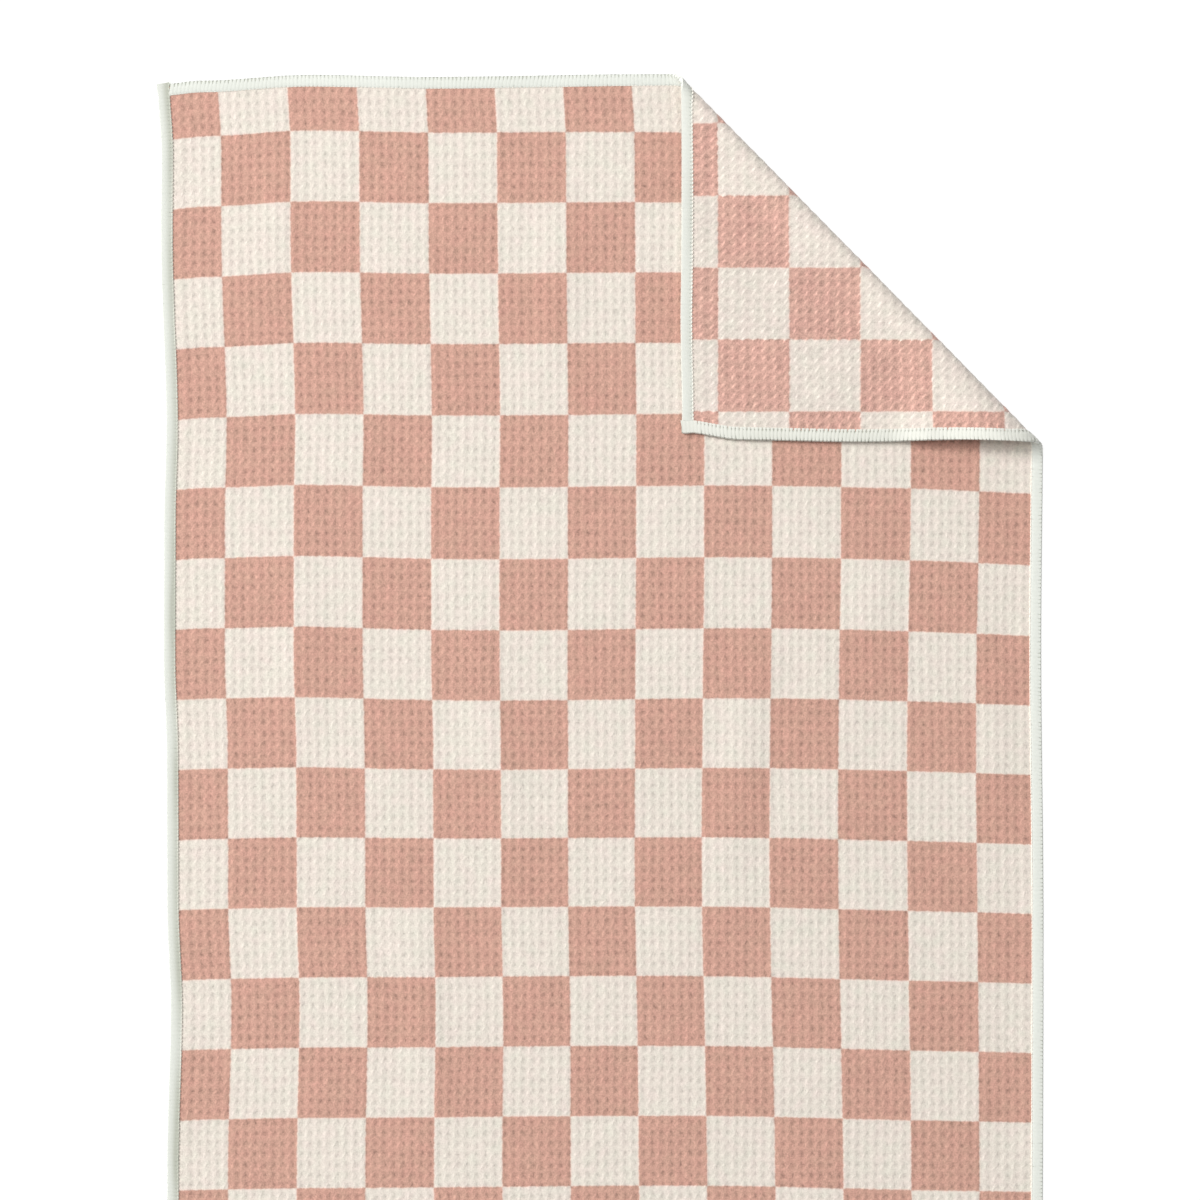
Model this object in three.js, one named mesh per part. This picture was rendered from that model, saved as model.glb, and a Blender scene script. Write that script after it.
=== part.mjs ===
// A hand towel that lies flat with its top right corner folded forward over the front.
// It is one sheet of waffle cloth, with a run of overlock thread wrapped round each cut edge.
// Millimetres: +X to the towel's right, +Y to its top edge, +Z up, resting on z = 0.
import * as THREE from 'three';

const { degToRad, lerp, smoothstep } = THREE.MathUtils;

// The finished towel, over its thread edges
const WIDTH = 457;
const LENGTH = 762;

// The cloth's thickness, in the open and where the thread squeezes it, and the width of the step between
const CLOTH = { thickness: 1.8, squeezed: 1.2, step: 1.5 };

// The thread edge: how far in it reaches, its height, the thread over each face of the cloth and past
// the cut edge, the clearance to the cloth, and the run of cloth that rises to it
const OVERLOCK = { reach: 6.5, height: 2.8, cover: 0.5, nose: 1.2, clearance: 0.3, rise: 15 };

// The folded corner: the direction from the towel's middle square to the fold, counted from +X, the
// distance to the fold's outermost line, the roll's radius at the middle of the cloth, how far past flat
// the roll turns, the radius of the curve that lands the flap, and the air between the two layers
const FOLD = {
  heading: degToRad(44.47),
  distance: 295.9,
  radius: 4.2,
  overturn: degToRad(15),
  landing: 60,
  air: 0.6,
};

// The flap's lower side stands off the layer below: how far in from its border that reaches, and how high it
// is at the border, by place along the right edge
const FLAP_LIFT = {
  depth: 70,
  rows: [
    { along: 186, out: 0 },
    { along: 206, out: 7.6 },
    { along: 226, out: 9 },
    { along: 250, out: 7.0 },
    { along: 272, out: 1.0 },
    { along: 300, out: 0.8 },
    { along: 330, out: 0.4 },
    { along: 360, out: 0 },
    { along: 381, out: 0 },
  ],
};

// How far each edge stands out past the plain rectangle, by place along it from its middle
const EDGES = {
  top: [
    { along: -228.5, out: -4.5 },
    { along: -205, out: -2.4 },
    { along: -150, out: 0.6 },
    { along: -90, out: -0.5 },
    { along: 30, out: 1.0 },
    { along: 160, out: -0.5 },
    { along: 228.5, out: -2.4 },
  ],
  right: [
    { along: -381, out: 1.6 },
    { along: -60, out: 2.5 },
    { along: 85, out: 1.3 },
    { along: 225, out: 2.4 },
    { along: 300, out: 4.4 },
    { along: 350, out: 4.2 },
    { along: 381, out: 0.8 },
  ],
  bottom: [
    { along: -228.5, out: -0.8 },
    { along: -90, out: 0.6 },
    { along: 60, out: -0.5 },
    { along: 160, out: 1.0 },
    { along: 228.5, out: 0.2 },
  ],
  left: [
    { along: -381, out: -1.0 },
    { along: -190, out: -2.4 },
    { along: -103, out: -4.3 },
    { along: -50, out: -2.4 },
    { along: 28, out: -2.2 },
    { along: 80, out: -0.6 },
    { along: 150, out: -0.8 },
    { along: 200, out: -2.0 },
    { along: 300, out: 0.8 },
    { along: 345, out: 0.6 },
    { along: 381, out: 2.5 },
  ],
};

// Soft ridges that the cloth was left with: the middle of each, its half length, half width and height,
// and how far it leans to the right for each millimetre up
const RIDGES = [
  { x: -168, y: 318, half: 50, side: 17, height: 0.7, lean: 0.05 },
  { x: -22, y: 278, half: 82, side: 18, height: 0.9, lean: 0 },
  { x: -157, y: 82, half: 95, side: 19, height: 0.9, lean: -0.03 },
  { x: -57, y: 39, half: 92, side: 18, height: 1.0, lean: -0.19 },
  { x: -92, y: -108, half: 98, side: 18, height: 1.0, lean: -0.08 },
  { x: 75, y: 28, half: 116, side: 20, height: 1.0, lean: 0.11 },
  { x: 143, y: 112, half: 64, side: 18, height: 0.8, lean: 0 },
  { x: 206, y: 48, half: 66, side: 17, height: 0.8, lean: -0.13 },
];

// Steps of the mesh along the fold, across the towel left of it, down below it, and through its section,
// and how far the rows that follow the fold go on past each side of it
const STEPS = { fold: 18, left: 18, below: 22, roll: 12, slope: 2, landing: 4 };
const MARGIN = 6;

// Distances in from the towel's outer edge: the cloth's own cut edge, where the squeezed cloth ends, where
// the full thickness starts, and where the cloth is down on the surface
const CUT_EDGE = OVERLOCK.nose + OVERLOCK.clearance;
const SQUEEZED_TO = OVERLOCK.reach + OVERLOCK.clearance;
const FULL_FROM = SQUEEZED_TO + CLOTH.step;
const DOWN_FROM = FULL_FROM + OVERLOCK.rise;

// The cloth's middle over the surface, and how far the thread edge lifts it
const BASE_HEIGHT = CLOTH.thickness / 2;
const EDGE_LIFT = (OVERLOCK.height - CLOTH.thickness) / 2;

// The fold's section: the roll, a straight slope back down and the curve that lands the flap. The slope is
// as long as it takes to bring the flap down to its own height over the base layer.
const FOLD_START = FOLD.distance - FOLD.radius - CLOTH.thickness / 2;
const FLAP_HEIGHT = CLOTH.thickness + FOLD.air;
const ROLL_LENGTH = FOLD.radius * (Math.PI + FOLD.overturn);
const ROLL_END_HEIGHT = FOLD.radius * (1 + Math.cos(FOLD.overturn));
const LANDING_LENGTH = FOLD.landing * FOLD.overturn;
const LANDING_FALL = FOLD.landing * (1 - Math.cos(FOLD.overturn));
const SLOPE_FALL = ROLL_END_HEIGHT - FLAP_HEIGHT - LANDING_FALL;
const SLOPE_LENGTH = SLOPE_FALL / Math.sin(FOLD.overturn);
const FOLD_LENGTH = ROLL_LENGTH + SLOPE_LENGTH + LANDING_LENGTH;

const toCorner = new THREE.Vector2(Math.cos(FOLD.heading), Math.sin(FOLD.heading));

const clothMaterial = new THREE.MeshStandardMaterial({ color: 0xdcc2b4, roughness: 0.95, metalness: 0 });
const threadMaterial = new THREE.MeshStandardMaterial({ color: 0xe8ebe1, roughness: 0.8, metalness: 0 });

// Reads a table of { along, out } rows with a smooth run between neighbouring rows.
function outAt(table, along) {
  const next = table.findIndex((row) => row.along >= along);
  if (next <= 0) return table.at(next).out;
  const [a, b] = [table[next - 1], table[next]];
  return lerp(a.out, b.out, smoothstep(along, a.along, b.along));
}

// A bump that is 1 at the middle and falls to 0, smoothly, at a distance of `half`.
function bump(distance, half) {
  return Math.abs(distance) < half ? Math.cos((Math.PI * distance) / (2 * half)) ** 2 : 0;
}

// Moves a place on the plain rectangle to the uneven cut cloth, still laid flat. Each edge's bend fades
// out towards the edge across from it.
function uneven(u, v) {
  const right = u / WIDTH + 0.5;
  const up = v / LENGTH + 0.5;
  const x = u + outAt(EDGES.right, v) * right ** 2 - outAt(EDGES.left, v) * (1 - right) ** 2;
  const y = v + outAt(EDGES.top, u) * up ** 2 - outAt(EDGES.bottom, u) * (1 - up) ** 2;
  return new THREE.Vector2(x, y);
}

// The section through the fold, for a length of cloth past the line where it leaves the base layer:
// how far out it gets, how high it rises and how far it has turned over.
function foldSection(length) {
  if (length <= 0) return { out: length, rise: 0, turn: 0 };
  if (length <= ROLL_LENGTH) {
    const turn = length / FOLD.radius;
    return { out: FOLD.radius * Math.sin(turn), rise: FOLD.radius * (1 - Math.cos(turn)), turn };
  }
  const top = foldSection(ROLL_LENGTH);
  const slope = Math.min(length - ROLL_LENGTH, SLOPE_LENGTH);
  const landed = THREE.MathUtils.clamp((length - ROLL_LENGTH - SLOPE_LENGTH) / LANDING_LENGTH, 0, 1);
  const left = FOLD.overturn * (1 - landed);
  const back = slope * Math.cos(FOLD.overturn) + FOLD.landing * (Math.sin(FOLD.overturn) - Math.sin(left));
  const fall = slope * Math.sin(FOLD.overturn) + FOLD.landing * (Math.cos(left) - Math.cos(FOLD.overturn));
  const rest = Math.max(length - FOLD_LENGTH, 0);
  return { out: top.out - back - rest, rise: top.rise - fall, turn: Math.PI + left };
}

// Distance in from the nearest edge of the plain rectangle.
function inset(u, v) {
  return Math.min(WIDTH / 2 - Math.abs(u), LENGTH / 2 - Math.abs(v));
}

// Height of the soft ridges in the base layer.
function ridgeHeight(x, y) {
  const heights = RIDGES.map((ridge) => {
    const across = x - ridge.x - ridge.lean * (y - ridge.y);
    return ridge.height * bump(across, ridge.side) * bump(y - ridge.y, ridge.half);
  });
  return Math.max(...heights);
}

// Height of the flap's lifted lower side, which is the towel's right edge turned over.
function flapLift(u, v, length) {
  const edge = Math.max(1 - (WIDTH / 2 - u) / FLAP_LIFT.depth, 0);
  const past = smoothstep(length, ROLL_LENGTH / 2, ROLL_LENGTH * 1.6);
  return outAt(FLAP_LIFT.rows, v) * edge ** 2 * past;
}

// Where a point of the towel lies. (u, v) is its place on the plain rectangle, and `front` its distance
// from the middle of the cloth towards the front face.
function lie(u, v, front) {
  const flat = uneven(u, v);
  const length = flat.dot(toCorner) - FOLD_START;
  const { out, rise, turn } = foldSection(length);
  const point = flat.addScaledVector(toCorner, out - length - front * Math.sin(turn));
  const edge = EDGE_LIFT * (1 - smoothstep(inset(u, v), FULL_FROM, DOWN_FROM));
  const ripple = length < 0 ? ridgeHeight(point.x, point.y) : flapLift(u, v, length);
  return new THREE.Vector3(point.x, point.y, BASE_HEIGHT + rise + front * Math.cos(turn) + edge + ripple);
}

// Places on the line parallel to the fold at `length` past its start, from the top edge to the right one.
const onRow = {
  byV: (length, v) => [(FOLD_START + length - toCorner.y * v) / toCorner.x, v],
  byU: (length, u) => [u, (FOLD_START + length - toCorner.x * u) / toCorner.y],
};

function foldRow(length) {
  const nearEdge = [CUT_EDGE, SQUEEZED_TO, FULL_FROM];
  const top = nearEdge.map((q) => onRow.byV(length, LENGTH / 2 - q));
  const right = nearEdge.map((q) => onRow.byU(length, WIDTH / 2 - q)).reverse();
  const [from, to] = [top.at(-1), right[0]];
  const steps = STEPS.fold - 2 * (nearEdge.length - 1);
  const middle = Array.from({ length: steps - 1 }, (_, i) => (i + 1) / steps);
  return [...top, ...middle.map((t) => [lerp(from[0], to[0], t), lerp(from[1], to[1], t)]), ...right];
}

function evenly(from, to, steps) {
  return Array.from({ length: steps + 1 }, (_, i) => lerp(from, to, i / steps));
}

// Lengths along the cloth of the rows that follow the fold, from just before it to just past its landing.
const foldLengths = [
  -MARGIN,
  ...evenly(0, ROLL_LENGTH, STEPS.roll),
  ...evenly(ROLL_LENGTH, ROLL_LENGTH + SLOPE_LENGTH, STEPS.slope).slice(1),
  ...evenly(ROLL_LENGTH + SLOPE_LENGTH, FOLD_LENGTH, STEPS.landing).slice(1),
  FOLD_LENGTH + MARGIN,
];
const foldRows = foldLengths.map(foldRow);
const firstRow = foldRows[0];
const lastRow = foldRows.at(-1);

// Grid lines of the base layer: every node of the first fold row has a column and a row of its own.
const nearLeft = [CUT_EDGE, SQUEEZED_TO].map((q) => q - WIDTH / 2);
const nearBottom = [CUT_EDGE, SQUEEZED_TO].map((q) => q - LENGTH / 2);
const columns = [
  ...nearLeft,
  ...evenly(FULL_FROM - WIDTH / 2, firstRow[0][0], STEPS.left),
  ...firstRow.slice(1).map(([u]) => u),
];
const rows = [
  ...firstRow.map(([, v]) => v),
  ...evenly(firstRow.at(-1)[1], FULL_FROM - LENGTH / 2, STEPS.below).slice(1),
  ...nearBottom.reverse(),
];

// Triangles of the cloth laid out as places (u, v), each turning left.
function clothTriangles() {
  const triangles = [];
  const quad = (a, b, c, d) => triangles.push([a, b, c], [a, c, d]);
  const firstFoldColumn = columns.length - firstRow.length;
  for (let c = 0; c < columns.length - 1; c += 1) {
    const beyond = c - firstFoldColumn;
    for (let r = Math.max(beyond, 0); r < rows.length - 1; r += 1) {
      const [left, right, high, low] = [columns[c], columns[c + 1], rows[r], rows[r + 1]];
      if (r === beyond) triangles.push([[left, high], [left, low], [right, low]]);
      else quad([left, low], [right, low], [right, high], [left, high]);
    }
  }
  for (let k = 0; k < foldRows.length - 1; k += 1) {
    const [inner, outer] = [foldRows[k], foldRows[k + 1]];
    for (let i = 0; i < STEPS.fold; i += 1) quad(inner[i], inner[i + 1], outer[i + 1], outer[i]);
  }
  for (let c = 0; c < STEPS.fold; c += 1) {
    for (let r = 0; r <= c; r += 1) {
      const [left, right] = [lastRow[c][0], lastRow[c + 1][0]];
      const [high, low] = [lastRow[r][1], lastRow[r + 1][1]];
      if (r === c) triangles.push([[left, high], [right, low], [right, high]]);
      else quad([left, low], [right, low], [right, high], [left, high]);
    }
  }
  return triangles;
}

function meshOf(points, triangles, material, name) {
  const geometry = new THREE.BufferGeometry();
  geometry.setAttribute('position', new THREE.Float32BufferAttribute(points.flatMap((p) => p.toArray()), 3));
  geometry.setIndex(triangles.flat());
  geometry.computeVertexNormals();
  const mesh = new THREE.Mesh(geometry, material);
  mesh.name = name;
  return mesh;
}

// Gives the laid out triangles a front face, a back face and a wall along every edge used once.
function thicken(triangles) {
  const numbers = new Map();
  const points = [];
  const halfStep = (SQUEEZED_TO + FULL_FROM) / 2;
  const number = ([u, v]) => {
    const key = `${u.toFixed(3)} ${v.toFixed(3)}`;
    if (!numbers.has(key)) {
      const half = (inset(u, v) < halfStep ? CLOTH.squeezed : CLOTH.thickness) / 2;
      numbers.set(key, points.length);
      points.push(lie(u, v, half), lie(u, v, -half));
    }
    return numbers.get(key);
  };
  const fronts = triangles.map((triangle) => triangle.map(number));
  const edges = new Set(fronts.flatMap(([a, b, c]) => [`${a} ${b}`, `${b} ${c}`, `${c} ${a}`]));
  const faces = fronts.flatMap(([a, b, c]) => [[a, b, c], [c + 1, b + 1, a + 1]]);
  for (const edge of edges) {
    const [a, b] = edge.split(' ').map(Number);
    if (!edges.has(`${b} ${a}`)) faces.push([a + 1, b + 1, b], [a + 1, b, a]);
  }
  return { points, faces };
}

// The thread edge's section, as distance in from the outer edge and height over the cloth's middle: a
// half round nose, and two flat legs with a slot between them for the cloth.
function overlockSection() {
  const { reach, height, cover, nose } = OVERLOCK;
  const half = height / 2;
  const slot = half - cover;
  const round = [-90, -45, 0, 45, 90].map(degToRad);
  return [
    [reach, -half],
    ...round.map((angle) => [nose * (1 - Math.cos(angle)), half * Math.sin(angle)]),
    [reach, half],
    [reach, slot],
    [nose, slot],
    [nose, -slot],
    [reach, -slot],
  ].map(([q, w]) => new THREE.Vector2(q, w));
}

// Sweeps the thread's section along an edge. A station is a function from the distance in from the outer
// edge to a place (u, v).
function overlock(stations, name) {
  const section = overlockSection();
  const count = section.length;
  const points = stations.flatMap((station) => section.map(({ x, y }) => lie(...station(x), y)));
  const faces = [];
  for (let s = 0; s < stations.length - 1; s += 1) {
    for (let i = 0; i < count; i += 1) {
      const [a, b] = [s * count + i, s * count + ((i + 1) % count)];
      faces.push([a, b, b + count], [a, b + count, a + count]);
    }
  }
  const cap = THREE.ShapeUtils.triangulateShape(section, []);
  const end = (stations.length - 1) * count;
  for (const [a, b, c] of cap) {
    faces.push([a, b, c], [c + end, b + end, a + end]);
  }
  return meshOf(points, faces, threadMaterial, name);
}

const acrossTop = (u) => (q) => [u, LENGTH / 2 - q];
const acrossRight = (v) => (q) => [WIDTH / 2 - q, v];
const acrossBottom = (u) => (q) => [u, q - LENGTH / 2];
const acrossLeft = (v) => (q) => [q - WIDTH / 2, v];
const alongFoldTop = (length) => (q) => onRow.byV(length, LENGTH / 2 - q);
const alongFoldRight = (length) => (q) => onRow.byU(length, WIDTH / 2 - q);

// The runs follow each other clockwise. The top and bottom ones go from corner to corner, and the side
// ones end against them.
const sideEnd = LENGTH / 2 - OVERLOCK.reach - OVERLOCK.clearance;
const baseColumns = columns.filter((u) => u < firstRow[0][0] - MARGIN);
const baseRows = rows.filter((v) => v > -sideEnd && v < firstRow.at(-1)[1] - MARGIN);
const flapColumns = lastRow.map(([u]) => u).filter((u) => u > lastRow[0][0] + MARGIN);
const flapRows = lastRow.map(([, v]) => v).filter((v) => v < sideEnd && v > lastRow.at(-1)[1] + MARGIN);
const topStations = [
  ...[-WIDTH / 2, ...baseColumns].map(acrossTop),
  ...foldLengths.map(alongFoldTop),
  ...[...flapColumns, WIDTH / 2].map(acrossTop),
];
const rightStations = [
  ...[sideEnd, ...flapRows].map(acrossRight),
  ...foldLengths.map(alongFoldRight).reverse(),
  ...[...baseRows, -sideEnd].map(acrossRight),
];
const bottomStations = [WIDTH / 2, ...columns.toReversed(), -WIDTH / 2].map(acrossBottom);
const leftRows = rows.toReversed().filter((v) => Math.abs(v) < sideEnd);
const leftStations = [-sideEnd, ...leftRows, sideEnd].map(acrossLeft);

const { points, faces } = thicken(clothTriangles());

const towel = new THREE.Group();
towel.add(
  meshOf(points, faces, clothMaterial, 'cloth'),
  overlock(topStations, 'overlock_top'),
  overlock(rightStations, 'overlock_right'),
  overlock(bottomStations, 'overlock_bottom'),
  overlock(leftStations, 'overlock_left'),
);

export default towel;
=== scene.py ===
import math

import bpy
import numpy as np
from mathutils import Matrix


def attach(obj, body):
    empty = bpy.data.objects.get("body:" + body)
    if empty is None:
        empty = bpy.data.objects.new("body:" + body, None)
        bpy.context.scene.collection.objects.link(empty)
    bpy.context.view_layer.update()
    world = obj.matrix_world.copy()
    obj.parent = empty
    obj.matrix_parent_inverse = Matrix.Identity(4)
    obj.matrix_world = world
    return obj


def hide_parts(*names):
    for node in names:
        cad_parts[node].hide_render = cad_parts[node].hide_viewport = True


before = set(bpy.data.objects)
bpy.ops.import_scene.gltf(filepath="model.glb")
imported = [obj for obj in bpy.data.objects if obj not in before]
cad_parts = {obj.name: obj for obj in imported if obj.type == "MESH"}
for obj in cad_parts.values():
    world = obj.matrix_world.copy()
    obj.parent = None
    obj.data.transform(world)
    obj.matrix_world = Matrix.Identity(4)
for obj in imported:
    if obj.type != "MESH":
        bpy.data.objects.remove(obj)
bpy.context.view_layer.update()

# The towel cloth: one cut panel of waffle woven microfibre, printed with blush pink and cream checks on
# each face. It lies flat, and its top right corner is folded forward over the front, which shows the back.
# Sizes here are millimetres, and a mesh's points become metres as it is made.
WIDTH = 457
LENGTH = 762
THICKNESS = 1.8
SQUEEZED = 1.2          # the cloth's thickness inside the thread edge
THREAD_HEIGHT = 2.8
CUT_EDGE = 1.5          # from the towel's outer edge in to the cut edge of the cloth
SQUEEZED_TO = 7.2       # as far in as this the thread holds the weave flat
CELLS_FROM = 8.3        # from here in the mesh has its lines cell by cell
SWELLS = (5.8, 12.5)    # between these distances in the cloth swells to its full thickness
DOWN_FROM = 23.3        # from here in the cloth lies on the surface, and outside it rises to the thread edge
STEEP_FROM = 14         # the same along the towel's sides and on the flap, where it rises in a shorter step
CORNER_BLEND = 8        # the one goes over into the other within this distance of a corner's diagonal

# A groove is pressed in beside the thread's inner side. Its depth is given for the top, right, bottom and
# left edges, on the front and on the back.
GROOVE = {
    "from_edge": 7.1,
    "half_width": 0.9,
    "front": (0.10, 0.05, 0.25, 0.40),
    "back": (0.25, 0.10, 0.2, 0.2),
}

HEADING = math.radians(44.47)   # direction from the towel's middle square to the fold
FOLD_DISTANCE = 295.9           # to the fold's outermost line
ROLL = 4.2                      # the roll's radius at the middle of the cloth
OVERTURN = math.radians(15)     # how far past flat the roll turns
LANDING = 60                    # radius of the curve that lands the flap
AIR = 0.6                       # between the two layers
LIFT_DEPTH = 70                 # the flap's lower side stands off this far in from its border
LIFT_GROWS = (0.5, 1.6)         # it starts half way round the roll, and is full at 1.6 times its length

# How far it stands off there: place along the right edge from its middle, and height
LIFT = [(186, 0), (206, 7.6), (226, 9), (250, 7.0), (272, 1.0), (300, 0.8), (330, 0.4), (360, 0), (381, 0)]

# How far each edge stands out past the plain rectangle: place along it from its middle, and how far
TOP_OUT = [(-228.5, -4.5), (-205, -2.4), (-150, 0.6), (-90, -0.5), (30, 1.0), (160, -0.5), (228.5, -2.4)]
RIGHT_OUT = [(-381, 1.6), (-60, 2.5), (85, 1.3), (225, 2.4), (300, 4.4), (350, 4.2), (381, 0.8)]
BOTTOM_OUT = [(-228.5, -0.8), (-90, 0.6), (60, -0.5), (160, 1.0), (228.5, 0.2)]
LEFT_OUT = [
    (-381, -1.0), (-190, -2.4), (-103, -4.3), (-50, -2.4), (28, -2.2), (80, -0.6),
    (150, -0.8), (200, -2.0), (300, 0.8), (345, 0.6), (381, 2.5),
]

# Soft ridges left in the cloth: middle x and y, half length, half width, height, and lean to the right
RIDGES = [
    (-168, 318, 50, 17, 0.7, 0.05),
    (-22, 278, 82, 18, 0.9, 0),
    (-157, 82, 95, 19, 0.9, -0.03),
    (-57, 39, 92, 18, 1.0, -0.19),
    (-92, -108, 98, 18, 1.0, -0.08),
    (75, 28, 116, 20, 1.0, 0.11),
    (143, 112, 64, 18, 0.8, 0),
    (206, 48, 66, 17, 0.8, -0.13),
]

# Shallow waves between them: length and height of each, its direction, and where it starts
WAVES = [
    (83, 0.12, 0.0, 5.2),
    (61, 0.10, 0.2, 0.3),
    (43, 0.07, 1.9, 1.1),
    (34, 0.05, 0.9, 2.6),
    (27, 0.04, 2.6, 4.0),
]
COVERED_FROM = (30, 175)    # under the flap, to the right of this x and above this y, the waves end
COVERED_OVER = 30           # and fade out over this distance
FLAT_BEFORE_FOLD = 25       # ridges and waves fade out over this length of cloth before the fold

TO_CORNER = np.array([math.cos(HEADING), math.sin(HEADING)])
FOLD_START = FOLD_DISTANCE - ROLL - THICKNESS / 2
ROLL_LENGTH = ROLL * (math.pi + OVERTURN)
LANDING_LENGTH = LANDING * OVERTURN
SLOPE_FALL = ROLL * (1 + math.cos(OVERTURN)) - THICKNESS - AIR - LANDING * (1 - math.cos(OVERTURN))
SLOPE_LENGTH = SLOPE_FALL / math.sin(OVERTURN)
FOLD_LENGTH = ROLL_LENGTH + SLOPE_LENGTH + LANDING_LENGTH


def smooth(x, low, high):
    """Rises from 0 at low to 1 at high without a kink: t squared times (3 minus 2t)."""
    t = np.clip((x - low) / (high - low), 0, 1)
    return t * t * (3 - 2 * t)


def hump(distance, half):
    """1 in the middle, and 0 from half away on: the squared cosine of up to a quarter turn."""
    return np.cos(np.clip(distance / half, -1, 1) * math.pi / 2) ** 2


def out_at(rows, along):
    """Reads an edge's table at many places, with a smooth run between neighbouring rows."""
    at, out = np.array(rows).T
    k = np.clip(np.searchsorted(at, along) - 1, 0, len(at) - 2)
    return out[k] + (out[k + 1] - out[k]) * smooth(along, at[k], at[k + 1])


def uneven(u, v):
    """Moves places on the plain rectangle to the cut cloth laid flat: each edge's own bend, which fades out,
    by the square, towards the edge across from it."""
    right = u / WIDTH + 0.5
    up = v / LENGTH + 0.5
    x = u + out_at(RIGHT_OUT, v) * right ** 2 - out_at(LEFT_OUT, v) * (1 - right) ** 2
    y = v + out_at(TOP_OUT, u) * up ** 2 - out_at(BOTTOM_OUT, u) * (1 - up) ** 2
    return np.stack([x, y], axis=-1)


def fold_section(length):
    """The section through the fold, for a length of cloth past the line where it leaves the base layer: a
    circular roll, a straight slope back down, and a wide curve that lands the flap. Returns how far out it
    gets, how high it rises, and how far it has turned over."""
    turn = np.clip(length, 0, ROLL_LENGTH) / ROLL
    slope = np.clip(length - ROLL_LENGTH, 0, SLOPE_LENGTH)
    left = OVERTURN * (1 - np.clip((length - ROLL_LENGTH - SLOPE_LENGTH) / LANDING_LENGTH, 0, 1))
    rest = np.maximum(length - FOLD_LENGTH, 0)
    back = slope * math.cos(OVERTURN) + LANDING * (math.sin(OVERTURN) - np.sin(left)) + rest
    fall = slope * math.sin(OVERTURN) + LANDING * (np.cos(left) - math.cos(OVERTURN))
    out = np.minimum(length, 0) + ROLL * np.sin(turn) - back
    return out, ROLL * (1 - np.cos(turn)) - fall, turn + left - OVERTURN


def inset(u, v):
    """Distance in from the nearest edge of the plain rectangle."""
    return np.minimum(WIDTH / 2 - abs(u), LENGTH / 2 - abs(v))


def ripple(x, y):
    """Height of the base layer's ridges and waves: the highest ridge at each place, each one a hump along
    and across its own line, and a sum of sines that ends under the flap."""
    ridges = [height * hump(x - at - lean * (y - up), side) * hump(y - up, half)
              for at, up, half, side, height, lean in RIDGES]
    waves = sum(height * np.sin(2 * math.pi * (x * math.cos(way) + y * math.sin(way)) / long + start)
                for long, height, way, start in WAVES)
    waves = waves + sum(height for _, height, _, _ in WAVES)
    across, up = [smooth(place, start, start + COVERED_OVER) for place, start in zip((x, y), COVERED_FROM)]
    return np.max(ridges, axis=0) + waves * (1 - across * up) / 2


def lie(u, v, front):
    """Where the towel's points lie. u and v are places on the plain rectangle, and front is the distance
    from the middle of the cloth towards the front face. The flat place is moved along the line to the
    corner by the fold's section, and front is turned with the cloth."""
    flat = uneven(u, v)
    length = flat @ TO_CORNER - FOLD_START
    out, rise, turn = fold_section(length)
    place = flat + TO_CORNER * (out - length - front * np.sin(turn))[..., None]
    sides = smooth(abs(u) - abs(v) + (LENGTH - WIDTH) / 2, -CORNER_BLEND, CORNER_BLEND)
    steep = np.maximum(sides, smooth(length, 0, ROLL_LENGTH))
    down_from = DOWN_FROM + (STEEP_FROM - DOWN_FROM) * steep
    edge = (THREAD_HEIGHT - THICKNESS) / 2 * (1 - smooth(inset(u, v), SQUEEZED_TO, down_from))
    lifted = out_at(LIFT, v) * np.maximum(1 - (WIDTH / 2 - u) / LIFT_DEPTH, 0) ** 2
    lifted = lifted * smooth(length / ROLL_LENGTH, *LIFT_GROWS)
    base = ripple(place[..., 0], place[..., 1]) * (1 - smooth(length, -FLAT_BEFORE_FOLD, 0))
    height = THICKNESS / 2 + rise + front * np.cos(turn) + edge + lifted + base
    return np.concatenate([place, height[..., None]], axis=-1)


# The waffle: cells in rows and columns, each a pit with a short raised float beside it. On the back the
# pits and floats run the other way.
CELLS = (91, 136)                   # across and along, between the lines at CELLS_FROM
PITCH = ((WIDTH - 2 * CELLS_FROM) / CELLS[0], (LENGTH - 2 * CELLS_FROM) / CELLS[1])
ACROSS_STEPS = (0, 0.36, 0.64)      # the mesh's columns in each cell, counted from the pit
ALONG_STEPS = (0, 0.5)              # and its rows
RIM_LINES = (CUT_EDGE, 3.2, 4.9, 6.3, 7.1, 7.7)     # the mesh's lines under the thread edge and beside it

# Each face's pits and floats: half sizes in cells, depth and height in millimetres, how much the floats
# lean, and how much of a cell lower than the pit a float's middle is
FRONT_WEAVE = {
    "pit": (0.21, 0.29),
    "depth": 0.34,
    "float": (0.18, 0.27),
    "height": 0.14,
    "lean": 0.4,
    "drop": 0.14,
}
BACK_WEAVE = {
    "pit": (0.24, 0.28),
    "depth": 0.24,
    "float": (0.14, 0.30),
    "height": 0.15,
    "lean": 0.5,
    "drop": 0.05,
}
BESIDE_PIT = 0.45       # how near a float's middle line, in cells, the mesh follows the float
BY_CELL = 0.25          # share by which the relief differs from cell to cell
BACK_RISES = (-2, 8)    # the back's cells get their relief between these lengths past the fold's start

# The threads wander to either side, across and along the towel: how far, the lengths of the sines along
# them, along their bends and across them, and where the last one starts
WANDER = 0.35
WANDER_ACROSS = (17, 29, 23, 1)
WANDER_ALONG = (19, 31, 27, 2)


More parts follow.
